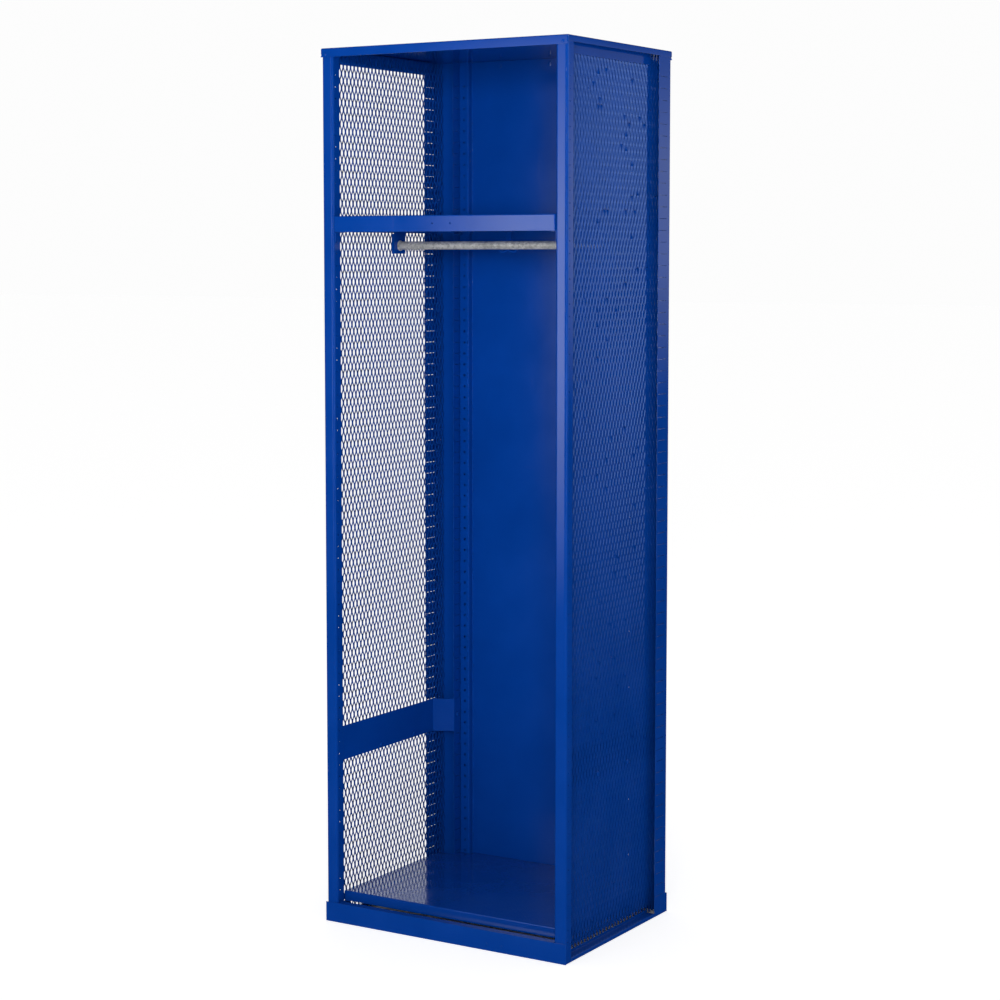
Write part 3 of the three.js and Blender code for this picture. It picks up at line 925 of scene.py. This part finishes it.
def deckOutline(node, notch):
    # The plan of a deck: full width at the front, stepped in round the rear posts and the panel's borders.
    low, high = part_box(node)
    postX, postY, borderX, borderY = notch
    right = [
        (high.x, low.y),
        (high.x, postY),
        (postX, postY),
        (postX, borderY),
        (borderX, borderY),
        (borderX, high.y),
    ]
    left = [(-x, y) for x, y in reversed(right)]
    return right + left


def decks(p=pans):
    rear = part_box("rear_post_right")[0]
    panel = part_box("back_panel")
    postX = rear.x - p["gap"]
    postY = rear.y + punching["rearStagger"] - p["gap"]
    borderX = panel[1].x - backSheet["border"] - p["borderGap"]
    borderY = panel[0].y - p["gap"]
    notch = (postX, postY, borderX, borderY)
    for node, name in (("shelf", "shelf"), ("floor_pan", "floorPan")):
        low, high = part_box(node)
        cutters = []
        if node == "shelf":
            for _, side in sides:
                centre = (side * p["lipHoleX"], low.y, low.z + p["lipHoleRise"])
                cutters.append(punchAlongY(centre, p["lipHoleRadius"], p["lipHoleLength"]))
        outline = deckOutline(node, notch)
        skin = panSkin(outline, high.z, [high.z - low.z] * len(outline), p["bend"], p["segments"])
        mesh = solidSheet(skin, name, p["sheet"], p["cutEdge"], cutters)
        for cutter in cutters:
            bpy.data.objects.remove(cutter)
        place(name + "Deck", mesh, "blue_enamel", "locker", node)


topPan()
decks()
print("pans ready")


softening = {
    "edge": 0.35 * mm,
    "hookEdge": 0.5 * mm,
    "plateEdge": 0.6 * mm,
    "segments": 2,
    "flatTurn": math.radians(1),
    "weld": 1e-5,
}


def softened(node, edge=softening["edge"], p=softening):
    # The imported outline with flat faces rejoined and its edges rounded, named in camel case.
    first, *rest = node.split("_")
    tail = "_" + rest.pop() if rest[-1] in ("left", "right") else ""
    name = first + "".join(word.capitalize() for word in rest) + tail
    bm = bmesh.new()
    bm.from_mesh(frame["nodes"][node].data)
    bmesh.ops.remove_doubles(bm, verts=bm.verts, dist=p["weld"])
    bmesh.ops.dissolve_limit(bm, angle_limit=p["flatTurn"], verts=bm.verts, edges=bm.edges)
    obj = tempObject(smoothed(meshFromBmesh(bm, name + "Skin")))
    bevel = obj.modifiers.new("edge", "BEVEL")
    bevel.width = edge
    bevel.segments = p["segments"]
    bevel.limit_method = "ANGLE"
    bevel.angle_limit = sharpTurn
    mesh = finished(bakedMesh(obj, name + "Raw"), name)
    place(name, mesh, "blue_enamel", "locker", node)


for name, _ in sides:
    for node in ("top_rail", "bottom_rail", "side_band", "rod_bracket"):
        softened(f"{node}_{name}")
    for node in ("floor_clip_front", "floor_clip_rear", "shelf_clip_front", "shelf_clip_rear"):
        softened(f"{node}_{name}")
softened("front_base_plate", softening["plateEdge"])
softened("rear_base_plate", softening["plateEdge"])
print("rails, bands, clips and plates ready")


def lathed(profile, axis, centre, segments=48, closed=False):
    # Turns (radius, distance) points round an axis through centre. A closed profile makes a ring.
    bm = bmesh.new()
    rows = []
    for k in range(segments):
        turn = 2 * math.pi * k / segments
        c, s = math.cos(turn), math.sin(turn)
        row = []
        for r, d in profile:
            local = {"x": (d, r * c, r * s), "y": (r * s, d, r * c), "z": (r * c, r * s, d)}[axis]
            row.append(bm.verts.new(Vector(local) + Vector(centre)))
        rows.append(row)
    last = len(profile) if closed else len(profile) - 1
    for k in range(segments):
        a, b = rows[k], rows[(k + 1) % segments]
        for i in range(last):
            j = (i + 1) % len(profile)
            corners = [a[i], a[j], b[j], b[i]]
            flat = []
            for v in corners:
                if all((v.co - f.co).length > samePoint for f in flat):
                    flat.append(v)
            if len(flat) > 2:
                bm.faces.new(flat)
    return bm


fastening = {
    "bodySteps": 24,
    "domeSteps": 5,
    "rim": 0.3,
    "shank": 0.55,
    "lowDome": 0.9 * mm,
    "boltDome": 2.4 * mm,
}


def domedHead(radius, rise, p=fastening):
    # A low dome from its rim to its crown, as (radius, height).
    turns = [math.pi / 2 * k / p["domeSteps"] for k in range(p["domeSteps"] + 1)]
    crown = 1 - p["rim"]
    return [(radius * math.cos(t), rise * (p["rim"] + crown * math.sin(t))) for t in turns]


def pinMesh(name, axis, head, rise, length, p=fastening):
    # A pin centred on its length, with a domed head at each end.
    seat = length / 2 - rise
    shank = head * p["shank"]
    dome = domedHead(head, rise)
    top = [(r, seat + h) for r, h in reversed(dome)]
    low = [(r, -seat - h) for r, h in dome]
    body = [(head, seat), (shank, seat), (shank, -seat), (head, -seat)]
    return meshFromBmesh(lathed(top + body + low, axis, (0, 0, 0), p["bodySteps"]), name)


def scatter(name, pin, points, slot, nodes):
    base = bpy.data.meshes.new(name + "Points")
    base.from_pydata(points, [], [])
    holder = tempObject(smoothed(pin))
    mesh = runTree(base, fastenerTree, name, Fastener=holder, Material=finishes[slot])
    bpy.data.objects.remove(holder)
    place(name, mesh, slot, "locker", *nodes)


def fastenerGroup(label, axis, rise, slot, nodes):
    # All of a group's pins are alike, so the first one's box gives the size.
    low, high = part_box(nodes[0])
    span = high - low
    across = span.y if axis == "x" else span.x
    pin = pinMesh(label + "Pin", axis, across / 2, rise, getattr(span, axis))
    scatter(label, pin, [tuple(sum(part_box(node), Vector()) / 2) for node in nodes], slot, nodes)


def fasteners(p=fastening):
    names = [name for name, _ in sides]
    corners = [f"top_rivet_{end}_{name}" for end in ("front", "rear") for name in names]
    bandBolts = [f"band_bolt_{name}_{k}" for name in names for k in (1, 2)]
    bandEndBolts = [f"band_bolt_{name}_3" for name in names]
    hangers = [f"bracket_rivet_{name}" for name in names] + ["hook_rivet"]
    fastenerGroup("topRivets", "y", p["lowDome"], "blue_enamel", corners)
    fastenerGroup("baseRivets", "y", p["lowDome"], "blue_enamel", ["base_rivet_1", "base_rivet_2"])
    fastenerGroup("backBolts", "y", p["lowDome"], "painted_bolts", [f"back_bolt_{k}" for k in (1, 2, 3)])
    fastenerGroup("bandBolts", "x", p["boltDome"], "painted_bolts", bandBolts)
    fastenerGroup("bandEndBolts", "x", p["boltDome"], "painted_bolts", bandEndBolts)
    fastenerGroup("bracketRivets", "z", p["lowDome"], "blue_enamel", hangers)


fasteners()
print("fasteners ready")


tube = {
    "wall": 1.25 * mm,
    "rounding": 0.4 * mm,
    "steps": 8,
    "segments": 64,
    "collarGap": 0.3 * mm,
    "collarEdge": 0.35 * mm,
}


def coatRod(p=tube):
    low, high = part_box("coat_rod")
    centre = (low + high) / 2
    radius = (high.z - low.z) / 2
    half = (high.x - low.x) / 2
    wall, rounding = p["wall"], p["rounding"]
    outer = [(radius - wall, -half), (radius - rounding, -half), (radius, -half + rounding)]
    outer += [(radius, half * (k / p["steps"] - 1)) for k in range(1, 2 * p["steps"])]
    outer += [(radius, half - rounding), (radius - rounding, half), (radius - wall, half)]
    bm = lathed(outer, "x", centre, p["segments"], closed=True)
    mesh = finished(meshFromBmesh(bm, "rodSkin"), "coatRodTube")
    place("coatRodTube", mesh, "zinc_tube", "rod", "coat_rod")
    for name, _ in sides:
        a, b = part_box("rod_collar_" + name)
        middle = (a + b) / 2
        outside, width = (b.z - a.z) / 2, (b.x - a.x) / 2
        inside = radius + p["collarGap"]
        edge = p["collarEdge"]
        ring = [
            (inside, -width),
            (outside - edge, -width),
            (outside, -width + edge),
            (outside, width - edge),
            (outside - edge, width),
            (inside, width),
        ]
        bm = lathed(ring, "x", middle, closed=True)
        mesh = finished(meshFromBmesh(bm, "collarSkin"), "rodCollar_" + name)
        place("rodCollar_" + name, mesh, "zinc_fittings", "rod", "rod_collar_" + name)


coatRod()
softened("coat_hook", softening["hookEdge"])
print("rod and hook ready")


studio = {
    "floorHalf": 60,
    "floorColour": (0.8, 0.8, 0.8, 1),
    "floorRoughness": 0.8,
    "floorSeen": 0.87,
    "floorCast": 0.42,
    "paintedShadowHalf": (0.3045, 0.228),
    "paintedShadowSoft": 0.004,
}


def floorShader(p=studio):
    # Glows for the camera, gives less light than it shows, and has a painted shadow under the locker: no glow
    # inside its footprint.
    material, shader, w = shaderStart("paleFloor")
    shader.inputs["Base Color"].default_value = p["floorColour"]
    shader.inputs["Roughness"].default_value = p["floorRoughness"]
    shader.inputs["Emission Color"].default_value = p["floorColour"]
    parts = w.node("ShaderNodeSeparateXYZ")
    w.link(w.objectCoords(), parts.inputs[0])
    # Painted shadow: the glow is masked off under the locker's footprint, with a soft edge.
    offsets = []
    for axis, half in zip("XY", p["paintedShadowHalf"]):
        offsets.append(w.math("SUBTRACT", w.math("ABSOLUTE", parts.outputs[axis]), half))
    outside = w.remap(w.math("MAXIMUM", offsets[0], offsets[1]), -p["paintedShadowSoft"], 0.0, 0.0, 1.0)
    seen = w.node("ShaderNodeLightPath").outputs["Is Camera Ray"]
    glow = w.remap(seen, 0.0, 1.0, p["floorCast"], p["floorSeen"])
    w.link(w.math("MULTIPLY", outside, glow), shader.inputs["Emission Strength"])
    return material


def stageFloor():
    bm = bmesh.new()
    bmesh.ops.create_grid(bm, x_segments=1, y_segments=1, size=studio["floorHalf"])
    mesh = meshFromBmesh(bm, "studioFloor")
    mesh.materials.append(floorShader())
    floor = tempObject(mesh)
    floor.visible_glossy = False


ambient = {"all": 0.27, "front": 0.21, "above": 0.14, "glossy": 0.015, "backdrop": 0.98}


def world():
    made = bpy.data.worlds.new("studio")
    made.use_nodes = True
    bpy.context.scene.world = made
    w = Wiring(made.node_tree)
    shade = made.node_tree.nodes["Background"]
    shade.inputs["Color"].default_value = (1, 1, 1, 1)
    # Brighter from the front and above, and nearly dark in mirror-like reflections.
    towards = w.node("ShaderNodeSeparateXYZ")
    w.link(w.node("ShaderNodeTexCoord").outputs["Generated"], towards.inputs[0])
    forward = w.math("MULTIPLY", towards.outputs["Y"], -1.0)
    front = w.math("MULTIPLY", w.math("MAXIMUM", forward, 0.0), ambient["front"])
    above = w.math("MULTIPLY", w.math("MAXIMUM", towards.outputs["Z"], 0.0), ambient["above"])
    soft = w.math("ADD", w.math("ADD", front, above), ambient["all"])
    path = w.node("ShaderNodeLightPath")
    glossy = path.outputs["Is Glossy Ray"]
    lit = w.math("MULTIPLY", soft, w.remap(glossy, 0.0, 1.0, 1.0, ambient["glossy"]))
    seen = path.outputs["Is Camera Ray"]
    backdrop = w.math("MULTIPLY", seen, ambient["backdrop"])
    unseen = w.math("MULTIPLY", lit, w.math("SUBTRACT", 1.0, seen))
    w.link(w.math("ADD", unseen, backdrop), shade.inputs["Strength"])


lighting = {
    "key": {"at": (2.3, -4.1, 1.85), "size": (1.3, 1.3), "power": 18, "spread": 66, "glossy": False},
}

cards = {
    "frontCard": {"at": (-1.35, -3.0, 1.32), "size": (0.95, 2.2), "strength": 2.4},
    "bendCard": {"at": (3.4, -2.3, 1.2), "size": (0.7, 2.8), "strength": 1.9},
    "sideCard": {"at": (1.5, 2.4, 1.62), "size": (1.7, 1.3), "strength": 0.55},
    "meshCard": {"at": (2.9, 1.7, 1.85), "size": (2.0, 2.6), "strength": 2.4, "tint": (0.42, 0.62, 1.0, 1)},
    "floorCard": {"at": (-2.3, 3.0, 0.9), "size": (3.6, 2.6), "strength": 1.1},
}


aimed = {"lamp": (0, 0, 1.8), "card": (0, 0, 1.0)}
cardShape = {"tint": (0.92, 0.96, 1.0, 1), "full": 0.12, "rim": 0.5}


def aim(obj, spot, target):
    obj.location = spot
    obj.rotation_euler = (Vector(target) - Vector(spot)).to_track_quat("-Z", "Y").to_euler()


def softCard(name, values):
    # A glowing card with a soft rim, seen only in reflections.
    bm = bmesh.new()
    bmesh.ops.create_grid(bm, x_segments=1, y_segments=1, size=cardShape["rim"])
    mesh = meshFromBmesh(bm, name)
    card = tempObject(mesh)
    card.scale = (values["size"][0], values["size"][1], 1)
    aim(card, values["at"], aimed["card"])
    material = bpy.data.materials.new(name + "Glow")
    material.use_nodes = True
    material.node_tree.nodes.clear()
    w = Wiring(material.node_tree)
    coords = w.node("ShaderNodeTexCoord").outputs["Object"]
    parts = w.node("ShaderNodeSeparateXYZ")
    w.link(coords, parts.inputs[0])
    spans = [w.math("ABSOLUTE", parts.outputs[axis]) for axis in "XY"]
    rims = [w.remap(span, cardShape["full"], cardShape["rim"], 1.0, 0.0) for span in spans]
    glow = w.node("ShaderNodeEmission")
    strength = w.math("MULTIPLY", w.math("MULTIPLY", rims[0], rims[1]), values["strength"])
    w.link(strength, glow.inputs["Strength"])
    glow.inputs["Color"].default_value = values["tint"]
    out = w.node("ShaderNodeOutputMaterial")
    w.link(glow.outputs[0], out.inputs["Surface"])
    mesh.materials.append(material)
    card.visible_camera = False
    card.visible_diffuse = False
    card.visible_shadow = False


def lights():
    for name, values in lighting.items():
        lamp = bpy.data.lights.new(name, "AREA")
        lamp.shape = "RECTANGLE"
        lamp.size, lamp.size_y = values["size"]
        lamp.energy = values["power"]
        lamp.spread = math.radians(values["spread"])
        obj = bpy.data.objects.new(name, lamp)
        bpy.context.scene.collection.objects.link(obj)
        aim(obj, values["at"], aimed["lamp"])
        obj.visible_camera = False
        obj.visible_glossy = values["glossy"]
    for name, values in cards.items():
        softCard(name, {"tint": cardShape["tint"]} | values)


view = {
    "at": (2.5696, -4.1817, 1.4619),
    "turn": 31.51,
    "dip": 4.91,
    "lens": 81.12,
    "sensor": 36.0,
    "rise": -0.05,
}


def camera(p=view):
    lens = bpy.data.cameras.new("camera")
    lens.lens = p["lens"]
    lens.sensor_width = p["sensor"]
    lens.shift_y = p["rise"]
    obj = bpy.data.objects.new("camera", lens)
    bpy.context.scene.collection.objects.link(obj)
    obj.location = p["at"]
    obj.rotation_euler = (math.radians(90 - p["dip"]), 0, math.radians(p["turn"]))
    bpy.context.scene.camera = obj


stageFloor()
world()
lights()
camera()
bpy.context.scene.view_settings.view_transform = "Standard"
print("studio ready")
